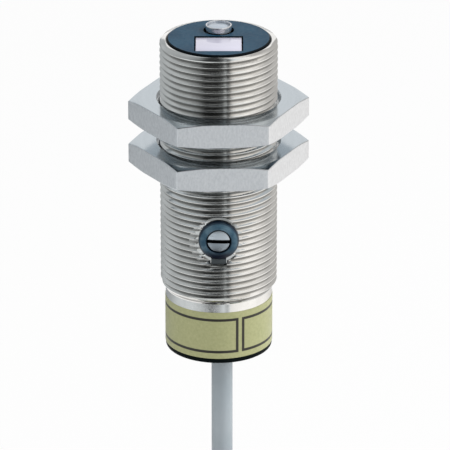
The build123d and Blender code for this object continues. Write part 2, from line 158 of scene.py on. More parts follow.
def newGroup(name, inputs, outputs):
    group = bpy.data.node_groups.new(name, "ShaderNodeTree")
    for label, kind, value in inputs:
        socket = group.interface.new_socket(name=label, in_out="INPUT", socket_type=kind)
        socket.default_value = value
    for label in outputs:
        group.interface.new_socket(
            name=label, in_out="OUTPUT", socket_type="NodeSocketFloat"
        )
    return group, group.nodes.new("NodeGroupInput"), group.nodes.new("NodeGroupOutput")


def feed(tree, socket, value):  # with a number, a colour or what another node puts out
    if isinstance(value, tuple):
        socket.default_value = (*value, 1)
    elif isinstance(value, (int, float)):
        socket.default_value = value
    else:
        tree.links.new(value, socket)


def mathNode(tree, operation, *values):
    node = tree.nodes.new("ShaderNodeMath")
    node.operation = operation
    for socket, value in zip(node.inputs, values):
        feed(tree, socket, value)
    return node.outputs[0]


def mapped(tree, value, fromLow, fromHigh, toLow, toHigh, smooth=False):
    node = tree.nodes.new("ShaderNodeMapRange")
    if smooth:
        node.interpolation_type = "SMOOTHSTEP"
    for socket, given in zip(node.inputs, (value, fromLow, fromHigh, toLow, toHigh)):
        feed(tree, socket, given)
    return node.outputs["Result"]


def splitVector(tree, vector):
    node = tree.nodes.new("ShaderNodeSeparateXYZ")
    tree.links.new(vector, node.inputs[0])
    return node.outputs


def coordinates(tree):  # the place on the object, split into X, Y and Z
    return splitVector(tree, tree.nodes.new("ShaderNodeTexCoord").outputs["Object"])


def facing(tree):  # the surface's direction, split into X, Y and Z
    return splitVector(tree, tree.nodes.new("ShaderNodeNewGeometry").outputs["True Normal"])


def noise(tree, vector, scale, detail):
    node = tree.nodes.new("ShaderNodeTexNoise")
    node.inputs["Detail"].default_value = detail
    tree.links.new(vector, node.inputs["Vector"])
    tree.links.new(scale, node.inputs["Scale"])
    return node


grainNoise = {
    "detail": 4,
    "roughness": 0.6,
    "patchDetail": 2,
    "patchScale": 0.12,  # of the fine grain's scale
    "spread": (0.3, 0.7),  # values that the grain mostly keeps between
    "patchSpread": (0.35, 0.65),
    "bumpDepth": 0.02,
}


def grainGroup():  # fine grain, stretched along any axis, and wide patches
    group, given, out = newGroup(
        "surfaceGrain",
        [
            ("Scale", "NodeSocketFloat", 1000.0),
            ("Stretch", "NodeSocketVector", (1.0, 1.0, 1.0)),
        ],
        ["Grain", "Patches"],
    )
    position = group.nodes.new("ShaderNodeTexCoord").outputs["Object"]
    stretched = group.nodes.new("ShaderNodeVectorMath")
    stretched.operation = "MULTIPLY"
    group.links.new(position, stretched.inputs[0])
    group.links.new(given.outputs["Stretch"], stretched.inputs[1])
    scale = given.outputs["Scale"]
    fine = noise(group, stretched.outputs[0], scale, grainNoise["detail"])
    fine.inputs["Roughness"].default_value = grainNoise["roughness"]
    wideScale = mathNode(group, "MULTIPLY", scale, grainNoise["patchScale"])
    wide = noise(group, position, wideScale, grainNoise["patchDetail"])
    group.links.new(fine.outputs["Fac"], out.inputs["Grain"])
    group.links.new(wide.outputs["Fac"], out.inputs["Patches"])
    return group


def turningGroup():  # rings left by a lathe tool round the barrel's axis
    group, given, out = newGroup(
        "turningMarks", [("Scale", "NodeSocketFloat", 4000.0)], ["Rings", "Radius"]
    )
    here = coordinates(group)
    across, along = (mathNode(group, "POWER", here[axis], 2.0) for axis in "XY")
    radius = mathNode(group, "SQRT", mathNode(group, "ADD", across, along))
    joined = group.nodes.new("ShaderNodeCombineXYZ")
    group.links.new(radius, joined.inputs["X"])
    group.links.new(here["Z"], joined.inputs["Z"])
    rings = noise(group, joined.outputs[0], given.outputs["Scale"], 2)
    group.links.new(rings.outputs["Fac"], out.inputs["Rings"])
    group.links.new(radius, out.inputs["Radius"])
    return group


surfaceGrain = grainGroup()
turningMarks = turningGroup()


def addGroup(tree, group, **values):
    node = tree.nodes.new("ShaderNodeGroup")
    node.node_tree = group
    for label, value in values.items():
        node.inputs[label].default_value = value
    return node


def mixColours(tree, factor, first, second):
    mix = tree.nodes.new("ShaderNodeMix")
    mix.data_type = "RGBA"
    colours = [socket for socket in mix.inputs if socket.type == "RGBA"]
    for socket, value in zip(colours, (first, second)):
        feed(tree, socket, value)
    tree.links.new(factor, mix.inputs[0])
    return [socket for socket in mix.outputs if socket.type == "RGBA"][0]


def blankMaterial(name):
    material = bpy.data.materials.new(name)
    material.use_nodes = True
    tree = material.node_tree
    tree.nodes.clear()
    return material, tree, tree.nodes.new("ShaderNodeOutputMaterial")


def newMaterial(name, **settings):
    material, tree, output = blankMaterial(name)
    shader = tree.nodes.new("ShaderNodeBsdfPrincipled")
    tree.links.new(shader.outputs[0], output.inputs["Surface"])
    for label, value in settings.items():
        shader.inputs[label.replace("_", " ")].default_value = value
    return material, tree, shader


def addBump(tree, shader, height, strength, depth):
    bump = tree.nodes.new("ShaderNodeBump")
    bump.inputs["Strength"].default_value = strength
    bump.inputs["Distance"].default_value = depth * mm
    tree.links.new(height, bump.inputs["Height"])
    tree.links.new(bump.outputs[0], shader.inputs["Normal"])


def toned(tree, value, spread, look):
    return mixColours(tree, mapped(tree, value, *spread, 0, 1), look["dark"], look["light"])


def paint(tree, shader, colour):
    tree.links.new(colour, shader.inputs["Base Color"])


def roughen(tree, shader, value, look):
    rough = mapped(tree, value, *grainNoise["spread"], *look["rough"])
    tree.links.new(rough, shader.inputs["Roughness"])


plain = {"metallic": 0.0, "ior": 1.5, "scale": 2000.0, "stretch": (1, 1, 1), "bump": 0.2}


def grainFinish(name, look):
    look = {**plain, **look}
    material, tree, shader = newMaterial(name, Metallic=look["metallic"], IOR=look["ior"])
    grain = addGroup(tree, surfaceGrain, Scale=look["scale"], Stretch=look["stretch"])
    fine, patches = grain.outputs["Grain"], grain.outputs["Patches"]
    paint(tree, shader, toned(tree, patches, grainNoise["patchSpread"], look))
    roughen(tree, shader, fine, look)
    addBump(tree, shader, fine, look["bump"], grainNoise["bumpDepth"])
    return material


def parts(material):  # its tree, its shader and the colour that reaches the shader
    tree = material.node_tree
    shader = next(node for node in tree.nodes if node.type == "BSDF_PRINCIPLED")
    return tree, shader, shader.inputs["Base Color"].links[0].from_socket


def dress(piece, material):
    if piece.material_slots:
        for slot in piece.material_slots:
            slot.link = "OBJECT"
            slot.material = material
    else:
        piece.data.materials.append(material)


def place(piece, body, slot, *replaced):
    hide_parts(*replaced)
    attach(piece, body)


# Camera and plain studio

camera = {
    "target": (0.00096, 0.0, -0.0158),
    "distance": 0.65,
    "elevation": 22.65,
    "lens": 336.9,
}


def addCamera():
    data = bpy.data.cameras.new("camera")
    data.lens = camera["lens"]
    eye = addObject("camera", data)
    tilt = math.radians(camera["elevation"])
    away = Vector((0, -math.cos(tilt), math.sin(tilt))) * camera["distance"]
    eye.location = Vector(camera["target"]) + away
    eye.rotation_euler = away.to_track_quat("Z", "Y").to_euler()
    bpy.context.scene.camera = eye


studio = {
    "floorHeight": -0.1262,
    "floorSize": 6.0,
    "floorColour": (0.82, 0.82, 0.82, 1),
    "backgroundShare": 0.94,  # of the floor, the rest keeps the object's shadow
    "worldLight": 0.40,
}
lamps = {
    "keyLamp": {"place": (0.60, -0.06, 0.38), "size": 0.42, "power": 4.6},
    "fillLamp": {"place": (-0.55, -0.25, 0.42), "size": 0.5, "power": 1.6},
    "frontLamp": {"place": (0.12, -0.75, 0.38), "size": 0.5, "power": 1.4},
}
tints = {  # of what the metal mirrors, by degrees from the front
    "cool": (0.94, 1.0, 1.03),
    "warm": (1.0, 0.985, 0.96),
    "warmFrom": 24,
}


def seenDirectly(tree):
    path = tree.nodes.new("ShaderNodeLightPath").outputs
    reflected = mathNode(tree, "MAXIMUM", path["Is Camera Ray"], path["Is Glossy Ray"])
    return mathNode(tree, "MAXIMUM", reflected, path["Is Transmission Ray"])


def mixShaders(tree, share, first, second):
    mix = tree.nodes.new("ShaderNodeMixShader")
    for socket, source in zip(mix.inputs, (share, first.outputs[0], second.outputs[0])):
        tree.links.new(source, socket)
    return mix.outputs[0]


def addWorld():
    world = bpy.data.worlds.new("studio")
    world.use_nodes = True
    tree = world.node_tree
    tree.nodes.clear()
    output = tree.nodes.new("ShaderNodeOutputWorld")
    light = tree.nodes.new("ShaderNodeBackground")
    light.inputs["Strength"].default_value = studio["worldLight"]
    seen = tree.nodes.new("ShaderNodeBackground")
    for background in (light, seen):
        background.inputs["Color"].default_value = (1, 1, 1, 1)
    tree.links.new(mixShaders(tree, seenDirectly(tree), light, seen), output.inputs["Surface"])
    bpy.context.scene.world = world


def addSheet(name, low, high, height):
    bm = bmesh.new()
    corners = ((low[0], low[1]), (high[0], low[1]), (high[0], high[1]), (low[0], high[1]))
    bm.faces.new([bm.verts.new((x, y, height)) for x, y in corners])
    sheet = addMesh(name, bm)
    return sheet


def addFloor():
    half = studio["floorSize"] / 2
    floor = addSheet("floor", (-half, -half), (half, half), studio["floorHeight"])
    material, tree, output = blankMaterial("paleFloor")
    matt = tree.nodes.new("ShaderNodeBsdfDiffuse")
    matt.inputs["Color"].default_value = studio["floorColour"]
    glow = tree.nodes.new("ShaderNodeEmission")
    share = mathNode(tree, "MULTIPLY", seenDirectly(tree), studio["backgroundShare"])
    tree.links.new(mixShaders(tree, share, matt, glow), output.inputs["Surface"])
    floor.data.materials.append(material)


def glowByAngle(tree, stops, centre=0.0):
    here = coordinates(tree)
    ahead = mathNode(tree, "SUBTRACT", centre, here["Y"])
    angle = mathNode(tree, "ARCTAN2", here["X"], ahead)
    ramp = tree.nodes.new("ShaderNodeValToRGB")
    tree.links.new(mapped(tree, angle, -math.pi, math.pi, 0, 1), ramp.inputs[0])
    elements = ramp.color_ramp.elements
    elements.remove(elements[1])
    for n, (degrees, glow) in enumerate(stops):
        spot = (degrees + 180) / 360
        element = elements[0] if n == 0 else elements.new(spot)
        element.position = spot
        tint = tints["cool" if degrees < tints["warmFrom"] else "warm"]
        element.color = (*(glow * share for share in tint), 1)
    return ramp.outputs["Color"]


def glowMaterial(name):
    material, tree, output = blankMaterial(name)
    glow = tree.nodes.new("ShaderNodeEmission")
    tree.links.new(glow.outputs[0], output.inputs["Surface"])
    return material, tree, glow


def onlyMirrored(sheet, material):
    sheet.data.materials.append(material)
    sheet.visible_camera = False
    sheet.visible_diffuse = False
    sheet.visible_shadow = False
    sheet.visible_transmission = False


wall = {  # a glow is (degrees from the front, brightness)
    "radius": 0.20,
    "top": 0.35,
    "turn": 163,
    "columns": 96,
    "highGlow": (
        (-163, 0.42), (-130, 0.5), (-100, 0.44), (-60, 0.34), (-38, 0.16), (-29, 0.03),
        (-4, 0.03), (9, 0.10), (11.5, 0.5), (14, 0.5), (16, 0.05), (20, 0.06),
        (25, 0.72), (32, 0.86), (60, 0.94), (90, 1.0), (106, 0.80), (122, 0.55), (163, 0.45),
    ),
    "lowGlow": (
        (-163, 0.24), (-125, 0.30), (-100, 0.55), (-60, 0.86), (-8, 0.92), (-4, 0.74),
        (22, 0.74), (27, 1.04), (100, 1.08), (135, 0.95), (163, 0.6),
    ),
    "footGlow": (
        (-163, 0.30), (-125, 0.42), (-100, 0.60), (-60, 0.64), (-34, 0.48), (-16, 0.16),
        (-8, 0.24), (0, 0.40), (5, 0.55), (10.5, 0.66), (14.7, 0.52), (18.9, 0.38),
        (21, 0.50), (23.5, 0.78), (26, 0.95), (32, 1.05), (45, 1.1), (100, 1.1), (135, 0.9),
        (163, 0.6),
    ),
    "lowFade": (-0.035, 0.005),  # heights between which the low glow gives way
    "footFade": (-0.102, -0.096),
}


def addWall():
    bm = bmesh.new()
    posts = []
    for n in range(wall["columns"] + 1):
        angle = math.radians(wall["turn"] * (2 * n / wall["columns"] - 1))
        x, y = wall["radius"] * math.sin(angle), -wall["radius"] * math.cos(angle)
        heights = (studio["floorHeight"], wall["top"])
        posts.append([bm.verts.new((x, y, height)) for height in heights])
    for post, following in zip(posts, posts[1:]):
        bm.faces.new((post[0], following[0], following[1], post[1]))
    card = addMesh("cardWall", bm)
    material, tree, glow = glowMaterial("cardWall")
    height = coordinates(tree)["Z"]
    high, low, foot = (glowByAngle(tree, wall[part + "Glow"]) for part in ("high", "low", "foot"))
    aboveFoot = mapped(tree, height, *wall["footFade"], 0, 1, True)
    low = mixColours(tree, aboveFoot, foot, low)
    aboveLow = mapped(tree, height, *wall["lowFade"], 0, 1, True)
    tree.links.new(mixColours(tree, aboveLow, low, high), glow.inputs["Color"])
    onlyMirrored(card, material)


ceiling = {
    "side": 0.7,
    "near": -0.2,
    "far": 0.6,
    "centre": 0.30,  # its glow fans out from this far back
    "glow": (
        (-180, 0.7), (-127, 0.42), (-95, 0.42), (-67, 0.34), (-24, 0.26), (-17, 0.03),
        (-2, 0.02), (5.2, 0.07), (6.4, 0.4), (7.6, 0.4), (8.8, 0.04), (11.2, 0.05),
        (13.5, 0.66), (18, 0.90), (32, 1.05), (56, 1.20), (74, 1.20), (95, 0.95),
        (127, 0.58), (180, 0.7),
    ),
}


def addCeiling():
    side = ceiling["side"]
    card = addSheet("cardCeiling", (-side, ceiling["near"]), (side, ceiling["far"]), wall["top"])
    material, tree, glow = glowMaterial("cardCeiling")
    colour = glowByAngle(tree, ceiling["glow"], ceiling["centre"])
    tree.links.new(colour, glow.inputs["Color"])
    onlyMirrored(card, material)


table = {"glow": 0.05, "low": (-0.035, -0.175), "high": (0.015, -0.012), "lift": 0.004}


def addTable():
    level = studio["floorHeight"] + table["lift"]
    card = addSheet("cardTable", table["low"], table["high"], level)
    material, tree, glow = glowMaterial("cardTable")
    glow.inputs["Strength"].default_value = table["glow"]
    onlyMirrored(card, material)


def addLamps():
    for name, lamp in lamps.items():
        data = bpy.data.lights.new(name, "AREA")
        data.energy = lamp["power"]
        data.size = lamp["size"]
        light = addObject(name, data)
        light.location = lamp["place"]
        light.rotation_euler = Vector(lamp["place"]).to_track_quat("Z", "Y").to_euler()
        light.visible_camera = False
        light.visible_glossy = False


bpy.context.scene.view_settings.view_transform = "Standard"
addCamera()
addWorld()
addFloor()
addWall()
addCeiling()
addTable()
addLamps()
print("studio ready")


# Thread shared by the barrel and its nuts

thread = {
    "radius": 9.0,
    "pitch": 1.0,
    "depth": 0.61,
    "phase": 0.56,  # height at which the crest passes +X
    "columns": 144,
    "weld": 0.01,  # points closer than this become one
    "level": 0.02,  # an edge this near to a height lies at it
    "shape": (  # share of the pitch, share of the depth
        (0.0, 0.0), (0.05, 0.015), (0.10, 0.10), (0.39, 0.90),
        (0.50, 1.0), (0.61, 0.90), (0.90, 0.10), (0.95, 0.015),
    ),
}


def threadedRod(low, high, growth, limit, fade):
    pitch, columns, shape = thread["pitch"], thread["columns"], thread["shape"]
    firstTurn = math.floor(low / pitch) - 2  # turns to spare are cut off below
    rows = (math.ceil(high / pitch) + 1 - firstTurn) * len(shape)
    bm = bmesh.new()
    grid = []
    for c in range(columns):
        angle = 2 * math.pi * c / columns
        column = []
        for row in range(rows + 1):
            turn, step = divmod(row, len(shape))
            share, cut = shape[step]
            height = (firstTurn + turn + share + c / columns) * pitch + thread["phase"]
            radius = thread["radius"] - thread["depth"] * cut * fade(height)
            radius = min(radius, limit(height)) + growth
            column.append(bm.verts.new((*around(angle, radius), height)))
        grid.append(column)
    for c in range(columns):
        lift = 0 if c + 1 < columns else len(shape)  # the last column meets the next turn
        right = grid[(c + 1) % columns]
        for row in range(rows - lift):
            bm.faces.new(
                (grid[c][row], right[row + lift], right[row + lift + 1], grid[c][row + 1])
            )
    for height, side in ((high, {"clear_outer": True}), (low, {"clear_inner": True})):
        bmesh.ops.bisect_plane(
            bm,
            geom=bm.verts[:] + bm.edges[:] + bm.faces[:],
            plane_co=(0, 0, height),
            plane_no=(0, 0, 1),
            **side,
        )
    bmesh.ops.remove_doubles(bm, verts=bm.verts, dist=thread["weld"])
    return bm


def isLevel(heights, level):
    return all(abs(height - level) < thread["level"] for height in heights)


def rimEdges(bm, height):
    return [
        edge
        for edge in bm.edges
        if edge.is_boundary and isLevel((end.co.z for end in edge.verts), height)
    ]


# Barrel

barrelLow, barrelHigh = box("barrel")
barrel = {
    "front": barrelHigh.z,
    "rear": barrelLow.z,
    "threadEnd": barrelLow.z + 9.1,
    "runout": 1.15,
    "rearRadius": 8.25,
    "bore": 7.5,
    "rimChamfer": 0.3,
    "capSeat": box("cap_gasket")[0].z,
    "seatRadius": 7.93,
    "firstGroove": barrelHigh.z - 0.35,  # above this height the rim is plain
    "lastGroove": barrelLow.z + 9.2,
    "fadeLength": 0.3,
    "columns": 144,
    "overshoot": 1.0,  # how far a cutter reaches past what it cuts
}
bushLow, bushHigh = box("adjuster_bush")
port = {
    "height": bushHigh.z - bushHigh.x,
    "floor": 8.15,
    "radius": 3.7,
    "spigotDepth": 4.0,  # the spigot's hole is cut from this far off the axis
    "spigotRadius": 2.53,
    "keyWidth": 2.5,
    "keyReach": 4.1,
}
sideways = Matrix.Translation((0, 0, port["height"])) @ Matrix.Rotation(math.pi / 2, 4, "X")


def barrelLimit(height):
    chamferStart = barrel["front"] - barrel["rimChamfer"]
    if height > chamferStart:
        return thread["radius"] - (height - chamferStart)
    above = height - barrel["threadEnd"]
    slope = (thread["radius"] - barrel["rearRadius"]) / barrel["runout"]
    return min(thread["radius"], barrel["rearRadius"] + max(0.0, above) * slope)


def barrelFade(height):
    below = (barrel["firstGroove"] - height) / barrel["fadeLength"]
    above = (height - barrel["lastGroove"]) / barrel["fadeLength"]
    return min(1.0, max(0.0, min(below, above)))


def makeBarrel():
    bm = threadedRod(barrel["threadEnd"], barrel["front"], 0.0, barrelLimit, barrelFade)
    bmesh.ops.edgeloop_fill(bm, edges=rimEdges(bm, barrel["front"]))
    lower = bmesh.ops.extrude_edge_only(bm, edges=rimEdges(bm, barrel["threadEnd"]))
    for item in lower["geom"]:
        if isinstance(item, bmesh.types.BMVert):
            item.co.z = barrel["rear"]
    bmesh.ops.edgeloop_fill(bm, edges=rimEdges(bm, barrel["rear"]))
    piece = pieceFrom(bm, "threadedBarrel", sharpAngle=60)
    past = barrel["overshoot"]
    bore = lathe(
        [
            (0, barrel["rear"] - past),
            (barrel["bore"], barrel["rear"] - past),
            (barrel["bore"], barrel["capSeat"]),
            (barrel["seatRadius"], barrel["capSeat"]),
            (barrel["seatRadius"], barrel["front"] + past),
            (0, barrel["front"] + past),
        ],
        barrel["columns"],
    )
    floor, outside = port["floor"], thread["radius"] + past

    def drill(radius, depth):
        return lathe([(0, depth), (radius, depth), (radius, outside), (0, outside)])

    spotface = drill(port["radius"], floor)
    spigotHole = drill(port["spigotRadius"], port["spigotDepth"])
    keySlot = block(
        (port["keyWidth"], outside - floor, port["keyReach"]),
        (0, -(floor + outside) / 2, port["height"] - port["keyReach"] / 2),
    )
    combine(
        piece,
        "DIFFERENCE",
        pieceFrom(bore, "bore"),
        pieceFrom(spotface, "spotface", matrix=sideways),
        pieceFrom(spigotHole, "spigotHole", matrix=sideways),
        pieceFrom(keySlot, "keySlot"),
        sharpAngle=58,
    )
    for edge in piece.data.edges:
        ends = (piece.data.vertices[vertex].co.z / mm for vertex in edge.vertices)
        if isLevel(ends, barrel["threadEnd"]):
            edge.use_edge_sharp = True
    return piece


nickel = {
    "dark": (0.80, 0.79, 0.77),
    "light": (0.90, 0.89, 0.87),
    "scale": 2600.0,
    "rings": 9000.0,
    "rough": (0.10, 0.17),
    "bump": (0.10, 0.01),
    "grooveShade": (0.37, 0.365, 0.35),  # painted shade in the thread's grooves
    "grooveShadeRadii": (8.42, 8.68),  # from its full share to none
    "unshadedSpot": (-0.8, -0.7),  # the milled port's bright side, from its middle, where the painted groove shade is left out
    "capShadowLine": (0.02, 0.024, 0.03),
    "capShadowWidth": 0.13,  # of the painted shadow line round the front cap
    "capShadowFade": 0.04,
    "rearFade": 0.2,
    "fade": 0.1,
}


def barrelMaterial():
    material, tree, shader = newMaterial("brightNickel", Metallic=1.0)
    grain = addGroup(tree, surfaceGrain, Scale=nickel["scale"])
    turning = addGroup(tree, turningMarks, Scale=nickel["rings"])
    colour = toned(tree, grain.outputs["Patches"], grainNoise["patchSpread"], nickel)
    here = coordinates(tree)

    def fade(value, start, first, last, width=nickel["fade"]):
        return mapped(tree, value, start * mm, (start + width) * mm, first, last)

    rim = barrel["front"] - barrel["rimChamfer"]
    # painted shade darkens the thread's grooves, except on the port's bright side
    aboveEnd = fade(here["Z"], barrel["lastGroove"], 0, 1, nickel["rearFade"])
    belowRim = fade(here["Z"], rim, 1, 0)
    full, none = (radius * mm for radius in nickel["grooveShadeRadii"])
    deep = mapped(tree, turning.outputs["Radius"], full, none, 1, 0, True)
    inGroove = mathNode(tree, "MULTIPLY", deep, mathNode(tree, "MULTIPLY", aboveEnd, belowRim))
    unshadedX, unshadedZ = nickel["unshadedSpot"]
    fromPort = tree.nodes.new("ShaderNodeCombineXYZ")
    aside = mathNode(tree, "SUBTRACT", here["X"], unshadedX * mm)
    up = mathNode(tree, "SUBTRACT", here["Z"], (port["height"] + unshadedZ) * mm)
    tree.links.new(aside, fromPort.inputs["X"])
    tree.links.new(up, fromPort.inputs["Z"])
    reach = tree.nodes.new("ShaderNodeVectorMath")
    reach.operation = "LENGTH"
    tree.links.new(fromPort.outputs[0], reach.inputs[0])
    outside = fade(reach.outputs["Value"], port["radius"], 0, 1)
    behind = mapped(tree, here["Y"], -mm, mm, 0, 1)
    grooveShade = mathNode(tree, "MULTIPLY", inGroove, mathNode(tree, "MAXIMUM", outside, behind))
    # a painted shadow line on the rim round the front cap
    capShadowLine = barrel["seatRadius"] + nickel["capShadowWidth"]
    byCap = fade(turning.outputs["Radius"], capShadowLine, 1, 0, nickel["capShadowFade"])
    atFront = fade(here["Z"], rim, 0, 1)
    colour = mixColours(tree, mathNode(tree, "MULTIPLY", byCap, atFront), colour, nickel["capShadowLine"])
    paint(tree, shader, mixColours(tree, grooveShade, colour, nickel["grooveShade"]))
    roughen(tree, shader, grain.outputs["Grain"], nickel)
    addBump(tree, shader, turning.outputs["Rings"], *nickel["bump"])
    return material


threadedBarrel = makeBarrel()
place(threadedBarrel, "sensor", "barrel_nickel", "barrel")
dress(threadedBarrel, barrelMaterial())
print("barrel:", len(threadedBarrel.data.polygons), "faces")


# Clamping nuts

nut = {
    "width": 24.0,
    "thickness": 3.8,
    "corner": 0.22,
    "edge": 0.08,
    "facingRadius": 12.3,
    "facingAngle": 15.0,
    "flatInset": 0.1,  # the flat face ends this far inside the outline
    "flatBorder": 0.12,
    "mouthBorder": 0.1,
    "mouth": 9.55,
    "minorRadius": 8.46,
    "threadPlay": 0.05,
    "tapReach": 0.6,
    "cornerSteps": 4,
    "flatSteps": 20,
}
nutPlaces = {
    "upperNut": {"bottom": 1.6, "turn": 3.4, "node": "upper_nut", "body": "front_nut"},
    "lowerNut": {"bottom": -5.4, "turn": 2.9, "node": "lower_nut", "body": "rear_nut"},
}


def hexOutline(inset, turn):
    outline = []
    corner = nut["corner"]
    reach = (nut["width"] / 2 - inset - corner) / math.cos(math.pi / 6)
    for side in range(6):
        angle = math.radians(60 * side + turn)
        here = Vector(around(angle)) * reach
        following = Vector(around(angle + math.pi / 3)) * reach
        for s in range(nut["cornerSteps"] + 1):
            bend = angle + math.pi / 3 * (s / nut["cornerSteps"] - 0.5)
            outline.append(here + Vector(around(bend)) * corner)
        outward = Vector(around(angle + math.pi / 6))
        for s in range(1, nut["flatSteps"]):
            outline.append(here.lerp(following, s / nut["flatSteps"]) + outward * corner)
    return outline


def nutBody(bottom, turn):
    half = nut["thickness"] / 2
    middle = bottom + half
    slope = math.tan(math.radians(nut["facingAngle"]))
    outer = hexOutline(0, turn)
    inner = hexOutline(nut["edge"], turn)
    boreDepth = nut["mouth"] - nut["minorRadius"]

    def atRadius(radius, height):
        return [(*(p.normalized() * radius), height) for p in inner]

    def onFlat(border):
        reaches = [min(nut["facingRadius"], p.length - nut["flatInset"]) for p in inner]
        return [(*(p.normalized() * (r - border)), half) for p, r in zip(inner, reaches)]

    def onSlope(points, below):
        falls = [max(0.0, p.length - nut["facingRadius"]) * slope for p in points]
        return [(*p, half - fall - below) for p, fall in zip(points, falls)]

    upper = [
        atRadius(nut["minorRadius"], half - boreDepth),
        atRadius(nut["mouth"], half),
        atRadius(nut["mouth"] + nut["mouthBorder"], half),
        onFlat(nut["flatBorder"]),
        onFlat(0.0),
        onSlope(inner, 0.0),
        onSlope(outer, nut["edge"]),
    ]
    lower = [[(x, y, -z) for x, y, z in ring] for ring in reversed(upper)]
    bm = bmesh.new()
    rings = [
        [bm.verts.new((x, y, middle + z)) for x, y, z in ring] for ring in upper + lower
    ]
    for ring, following in zip(rings, rings[1:] + rings[:1]):
        for n in range(len(ring)):
            after = (n + 1) % len(ring)
            bm.faces.new((ring[n], ring[after], following[after], following[n]))
    return bm


def makeNut(name, spot):
    piece = pieceFrom(nutBody(spot["bottom"], spot["turn"]), name, sharpAngle=30)
    low = spot["bottom"] - nut["tapReach"]
    high = spot["bottom"] + nut["thickness"] + nut["tapReach"]
    tap = threadedRod(
        low, high, nut["threadPlay"], lambda height: thread["radius"], lambda height: 1.0
    )
    for height in (low, high):
        bmesh.ops.edgeloop_fill(tap, edges=rimEdges(tap, height))
    combine(piece, "DIFFERENCE", pieceFrom(tap, "tap"), sharpAngle=30)
    return piece


satin = {
    "dark": (0.71, 0.72, 0.74),
    "light": (0.84, 0.85, 0.87),
    "scale": 2400.0,
    "stretch": (1.3, 1.3, 0.7),
    "rough": (0.34, 0.50),
    "bump": (0.18, 0.02),
    "spread": (0.34, 0.66),
    "turnedFrom": (0.5, 0.9),  # how far up or down a surface looks where it is turned
    "rings": 1500.0,
    "turnedDark": (0.45, 0.50, 0.535),
    "turnedLight": (0.53, 0.58, 0.62),
    "turnedRough": 0.36,  # share of the flats' roughness
}


def nutMaterial():
    material, tree, shader = newMaterial("satinNickel", Metallic=1.0)
    grain = addGroup(tree, surfaceGrain, Scale=satin["scale"], Stretch=satin["stretch"])
    turning = addGroup(tree, turningMarks, Scale=satin["rings"])
    fine, rings = grain.outputs["Grain"], turning.outputs["Rings"]
    brushed = toned(tree, fine, satin["spread"], satin)
    turned = mixColours(tree, rings, satin["turnedDark"], satin["turnedLight"])
    upright = mathNode(tree, "ABSOLUTE", facing(tree)["Z"])
    onTop = mapped(tree, upright, *satin["turnedFrom"], 0, 1)
    paint(tree, shader, mixColours(tree, onTop, brushed, turned))
    height = tree.nodes.new("ShaderNodeMix")
    tree.links.new(onTop, height.inputs[0])
    tree.links.new(fine, height.inputs["A"])
    tree.links.new(rings, height.inputs["B"])
    rough = mapped(tree, fine, *grainNoise["spread"], *satin["rough"])
    smoother = mapped(tree, onTop, 0, 1, 1, satin["turnedRough"])
    tree.links.new(mathNode(tree, "MULTIPLY", rough, smoother), shader.inputs["Roughness"])
    addBump(tree, shader, height.outputs[0], *satin["bump"])
    return material


satinNickel = nutMaterial()
for name, spot in nutPlaces.items():
    piece = makeNut(name, spot)
    place(piece, spot["body"], "nut_nickel", spot["node"])
    dress(piece, satinNickel)
print("nuts ready")


# Face: laser tube, its glass and the receiver's window

tubeLow, tubeHigh = box("laser_tube")
laser = {
    "y": (tubeLow.y + tubeHigh.y) / 2,
    "top": tubeHigh.z,
    "bottom": tubeLow.z,
    "radius": tubeHigh.x,
    "lip": 0.1,
    "glassRadius": 1.78,
    "glassSeat": box("laser_lens")[0].z,
    "beam": 1.2,
    "flangeRadius": 1.68,
    "flangeSeat": tubeLow.z + 0.9,
}
windowLow, windowHigh = box("receiver_window")
window = {
    "size": windowHigh - windowLow,
    "centre": (windowLow + windowHigh) / 2,
    "edge": 0.09,
}


def makeLaserRing():
    profile = rounded(
        [
            (laser["glassRadius"], laser["glassSeat"], 0),
            (laser["glassRadius"], laser["top"], 0.05),
            (laser["radius"], laser["top"], laser["lip"]),
            (laser["radius"], laser["bottom"], 0),
            (laser["flangeRadius"], laser["bottom"], 0),
            (laser["flangeRadius"], laser["flangeSeat"], 0),
            (laser["beam"], laser["flangeSeat"], 0),
            (laser["beam"], laser["glassSeat"], 0),
        ]
    )
    shift = Matrix.Translation((0, laser["y"], 0))
    return pieceFrom(lathe(profile), "laserRing", matrix=shift)


def makeWindow():
    glass = block(window["size"], window["centre"], window["edge"])
    return pieceFrom(glass, "windowGlass", sharpAngle=50)


chrome = {
    "dark": (0.76, 0.765, 0.79),
    "light": (0.84, 0.845, 0.87),
    "metallic": 1.0,
    "rough": (0.22, 0.30),
    "scale": 900.0,
    "bump": 0.0,
}
pane = {
    "dark": (0.63, 0.62, 0.74),
    "light": (0.69, 0.68, 0.80),
    "rough": (0.03, 0.06),
    "scale": 900.0,
    "bump": 0.02,
}
laserRing = makeLaserRing()
place(laserRing, "sensor", "laser_chrome", "laser_tube")
dress(laserRing, grainFinish("polishedChrome", chrome))
windowGlass = makeWindow()
place(windowGlass, "sensor", "window_glass", "receiver_window")
dress(windowGlass, grainFinish("windowPane", pane))

face = {
    "dark": (0.008, 0.045, 0.088),
    "light": (0.014, 0.066, 0.118),
    # painted shade on the cap's edge and sides
    "edge": (0.002, 0.004, 0.006),
    "flatFrom": (0.90, 0.97),  # how far up a surface has to look to be the face; what looks less far up gets the painted shade
    "rough": (0.34, 0.48),
    "ior": 1.2,
    "scale": 1800.0,
    "bump": 0.35,
}


def faceMaterial():
    material = grainFinish("faceBlack", face)
    tree, shader, moulding = parts(material)
    # surfaces that do not face up are painted dark as shade
    flat = mapped(tree, facing(tree)["Z"], *face["flatFrom"], 0, 1)
    paint(tree, shader, mixColours(tree, flat, face["edge"], moulding))
    return material


dress(nodes["front_cap"], faceMaterial())
print("face ready")


# Range adjuster: the dark ring with its key, and the slotted screw

